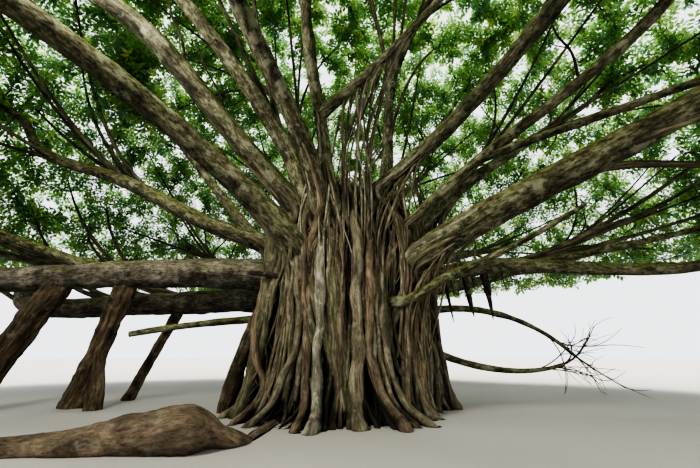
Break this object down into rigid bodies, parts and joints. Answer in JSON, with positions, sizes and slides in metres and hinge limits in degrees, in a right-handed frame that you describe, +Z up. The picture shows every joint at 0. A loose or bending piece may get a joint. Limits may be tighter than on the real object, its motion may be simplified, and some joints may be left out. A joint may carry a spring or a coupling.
{
  "type": "banyan tree",
  "caption": "Old banyan tree: broad ribbed trunk of fused aerial roots, long spreading boughs, pillar roots and a wide domed crown of leaf sprays.",
  "frame": {"origin": "middle of the flat cut under the trunk, at ground level", "axes": "+Z up; -Y towards the side that the picture shows; +X to that view's right"},
  "size_m": [23.091, 21.5477, 12.3192],
  "materials": {
    "trunk_bark": "rough ribbed bark",
    "bough_bark": "rough bark with moss and pale lichen",
    "root_bark": "rough brown root bark",
    "foliage": "satin green leaves"
  },
  "bodies": {
    "root": {"back_left": "bough_bark", "back_left_high": "bough_bark", "back_middle_left": "bough_bark", "back_middle_right": "bough_bark", "back_right": "bough_bark", "back_right_high": "bough_bark", "foliage_back_left": "foliage", "foliage_back_left_high": "foliage", "foliage_back_middle_left": "foliage", "foliage_back_middle_right": "foliage", "foliage_back_right": "foliage", "foliage_back_right_high": "foliage", "foliage_front_left_upright": "foliage", "foliage_front_right_high": "foliage", "foliage_front_upright": "foliage", "foliage_left_front_main": "foliage", "foliage_left_high_outer": "foliage", "foliage_left_high_steep": "foliage", "foliage_left_low_back": "foliage", "foliage_left_low_front": "foliage", "foliage_left_middle": "foliage", "foliage_right_back_low": "foliage", "foliage_right_front_slender": "foliage", "foliage_right_high": "foliage", "foliage_right_low": "foliage", "foliage_right_main": "foliage", "foliage_top_left": "foliage", "foliage_top_right": "foliage", "front_fork": "bough_bark", "front_left_upright": "bough_bark", "front_right_high": "bough_bark", "front_upright": "bough_bark", "hanging_roots": "root_bark", "leaning_root": "root_bark", "left_broken_limb": "bough_bark", "left_front_main": "bough_bark", "left_high_outer": "bough_bark", "left_high_steep": "bough_bark", "left_low_back": "bough_bark", "left_low_fork": "bough_bark", "left_low_front": "bough_bark", "left_middle": "bough_bark", "left_middle_fork": "bough_bark", "pillar_root_back": "root_bark", "pillar_root_inner": "root_bark", "pillar_root_outer": "root_bark", "right_back_low": "bough_bark", "right_drooping_limb": "bough_bark", "right_front_limb": "bough_bark", "right_front_slender": "bough_bark", "right_ground_limb": "bough_bark", "right_high": "bough_bark", "right_low": "bough_bark", "right_low_fork": "bough_bark", "right_main": "bough_bark", "right_slender_fork": "bough_bark", "surface_root": "root_bark", "top_left": "bough_bark", "top_right": "bough_bark", "trunk": "trunk_bark"}
  },
  "joints": []
}
